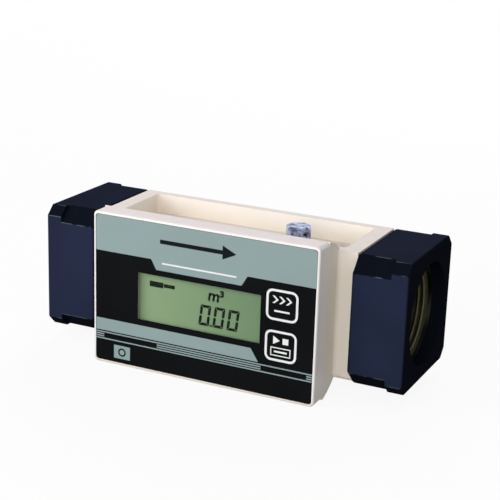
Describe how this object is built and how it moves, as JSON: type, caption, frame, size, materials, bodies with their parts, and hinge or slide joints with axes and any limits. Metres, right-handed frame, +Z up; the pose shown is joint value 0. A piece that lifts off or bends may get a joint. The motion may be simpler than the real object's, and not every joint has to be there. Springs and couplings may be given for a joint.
{
  "type": "turbine flow meter",
  "caption": "In-line turbine gas flow meter with threaded end fittings, an open-topped case and a front display housing with two push keys.",
  "frame": {"origin": "centre of the inlet port on the flow axis, where the pipe thread begins", "axes": "+X along the flow from inlet to outlet, -Y towards the display, +Z up"},
  "size_m": [0.17, 0.0684, 0.0682],
  "materials": {
    "ivory_case": "satin moulded",
    "navy_coat": "satin fine-textured paint",
    "yellow_passivated_metal": "turned and passivated",
    "screw_steel": "turned",
    "seal_rubber": "matt",
    "panel_film": "printed film, fine matt",
    "key_plastic": "fine matt",
    "clear_window": "clear",
    "lcd_green": "reflective display",
    "black_plastic": "moulded",
    "board_green": "solder mask",
    "cell_can": "plain sleeve",
    "bright_steel": "ground",
    "pipe_aluminium": "turned",
    "guide_plastic": "moulded",
    "rotor_plastic": "moulded",
    "magnet_black": "bonded magnet",
    "zinc_plated_steel": "bright zinc plate",
    "brass_cage": "pressed"
  },
  "bodies": {
    "meter": {"battery_cell": "cell_can", "battery_contacts": "bright_steel", "battery_holder": "black_plastic", "board_components": "black_plastic", "board_screws": "screw_steel", "body_case": "ivory_case", "circuit_board": "board_green", "contact_strips": "seal_rubber", "cover_gasket": "seal_rubber", "cover_screws": "screw_steel", "display_cover": "ivory_case", "display_window": "clear_window", "end_block_screws": "screw_steel", "front_panel": "panel_film", "inlet_bearing_outer_ring": "bright_steel", "inlet_end_block": "navy_coat", "inlet_end_ring": "navy_coat", "inlet_flow_guide": "guide_plastic", "inlet_o_ring": "seal_rubber", "inlet_snap_ring": "bright_steel", "inlet_socket": "yellow_passivated_metal", "key_switches": "black_plastic", "lcd_frame": "black_plastic", "lcd_glass": "lcd_green", "measuring_pipe": "pipe_aluminium", "outlet_bearing_outer_ring": "bright_steel", "outlet_end_block": "navy_coat", "outlet_end_ring": "navy_coat", "outlet_flow_guide": "guide_plastic", "outlet_o_ring": "seal_rubber", "outlet_snap_ring": "bright_steel", "outlet_socket": "yellow_passivated_metal", "pickup_saddle": "black_plastic", "pickup_sensor": "bright_steel", "saddle_screws": "screw_steel", "test_port_plug": "zinc_plated_steel", "test_port_seal": "seal_rubber", "test_port_stem": "bright_steel"},
    "rotor": {"turbine_rotor": "rotor_plastic", "rotor_shaft": "bright_steel", "rotor_magnet": "magnet_black", "inlet_bearing_inner_ring": "bright_steel", "outlet_bearing_inner_ring": "bright_steel"},
    "inlet_ball_set": {"inlet_bearing_cage": "brass_cage", "inlet_bearing_balls": "bright_steel"},
    "outlet_ball_set": {"outlet_bearing_cage": "brass_cage", "outlet_bearing_balls": "bright_steel"},
    "rate_key_body": {"rate_key": "key_plastic", "rate_switch_button": "key_plastic"},
    "start_key_body": {"start_key": "key_plastic", "start_switch_button": "key_plastic"}
  },
  "joints": [
    {"name": "rotor_spin", "type": "hinge", "parent": "meter", "child": "rotor", "pos_m": [0.0765, 0, 0], "axis": [1, 0, 0], "continuous": true},
    {"name": "inlet_ball_set_spin", "type": "hinge", "parent": "meter", "child": "inlet_ball_set", "pos_m": [0.0765, 0, 0], "axis": [1, 0, 0], "continuous": true},
    {"name": "outlet_ball_set_spin", "type": "hinge", "parent": "meter", "child": "outlet_ball_set", "pos_m": [0.0765, 0, 0], "axis": [1, 0, 0], "continuous": true},
    {"name": "rate_key_press", "type": "slide", "parent": "meter", "child": "rate_key_body", "axis": [0, 1, 0], "range_m": [0, 0.0004], "stiffness_N_per_m": 2500, "springref_m": -0.0004},
    {"name": "start_key_press", "type": "slide", "parent": "meter", "child": "start_key_body", "axis": [0, 1, 0], "range_m": [0, 0.0004], "stiffness_N_per_m": 2500, "springref_m": -0.0004}
  ],
  "couplings": [
    {"joint": "inlet_ball_set_spin", "follows": "rotor_spin", "ratio": 0.3556},
    {"joint": "outlet_ball_set_spin", "follows": "rotor_spin", "ratio": 0.3556}
  ]
}
